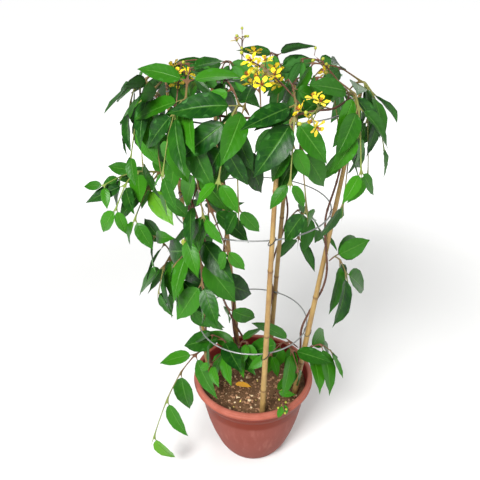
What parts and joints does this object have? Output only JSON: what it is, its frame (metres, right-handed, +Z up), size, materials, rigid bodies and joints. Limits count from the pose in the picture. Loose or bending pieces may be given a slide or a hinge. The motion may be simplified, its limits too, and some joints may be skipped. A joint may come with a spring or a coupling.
{
  "type": "potted maidens jealousy",
  "caption": "Flowering vine on a cage of bamboo canes and wire rings in a tapered plastic pot, with a leafy crown, hanging shoots and yellow star flowers.",
  "frame": {"origin": "middle of the pot's foot, on the surface it stands on", "axes": "+Z up along the pot's axis, -Y towards the viewer of the picture, +X to that viewer's right"},
  "size_m": [0.5362, 0.4422, 0.8942],
  "materials": {
    "pot_plastic": "matte terracotta-coloured plastic, dustier below the lip",
    "soil": "dark bark chips and compost",
    "bamboo": "dry tan bamboo with darker joints",
    "wire": "dull galvanised wire",
    "tie_plastic": "black plastic-coated tie",
    "vine_bark": "thin red-brown bark",
    "leaf": "satin green leaf, paler at the veins",
    "flower": "soft yellow petal",
    "dry_leaf": "dry orange-yellow leaf"
  },
  "bodies": {
    "root": {"cane_back_left": "bamboo", "cane_back_right": "bamboo", "cane_front": "bamboo", "cane_left": "bamboo", "cane_right": "bamboo", "crown_back": "leaf", "crown_back_left": "leaf", "crown_back_right": "leaf", "crown_front": "leaf", "crown_front_left": "leaf", "crown_front_right": "leaf", "crown_left": "leaf", "crown_left_front": "leaf", "crown_right": "leaf", "crown_right_back": "leaf", "crown_right_front": "leaf", "fallen_leaf": "dry_leaf", "hanging_back_left": "leaf", "hanging_back_right": "leaf", "hanging_front": "leaf", "hanging_front_left": "leaf", "hanging_left": "leaf", "hanging_right": "leaf", "low_left": "leaf", "low_middle": "leaf", "low_right": "leaf", "pot": "pot_plastic", "raceme_front": "flower", "raceme_left": "flower", "raceme_middle": "flower", "raceme_right": "flower", "raceme_top": "flower", "raceme_top_right": "flower", "ring_low": "wire", "ring_middle": "wire", "ring_top": "wire", "soil": "soil", "spray_left": "leaf", "sprig": "leaf", "tie_low_back_left": "tie_plastic", "tie_low_back_right": "tie_plastic", "tie_low_front": "tie_plastic", "tie_low_left": "tie_plastic", "tie_low_right": "tie_plastic", "tie_middle_back_left": "tie_plastic", "tie_middle_back_right": "tie_plastic", "tie_middle_front": "tie_plastic", "tie_middle_left": "tie_plastic", "tie_middle_right": "tie_plastic", "tie_top_back_left": "tie_plastic", "tie_top_back_right": "tie_plastic", "tie_top_front": "tie_plastic", "tie_top_left": "tie_plastic", "tie_top_right": "tie_plastic", "trailing_shoot": "leaf", "vine_back_left": "vine_bark", "vine_back_right": "vine_bark", "vine_front": "vine_bark", "vine_left": "vine_bark", "vine_right": "vine_bark"}
  },
  "joints": []
}
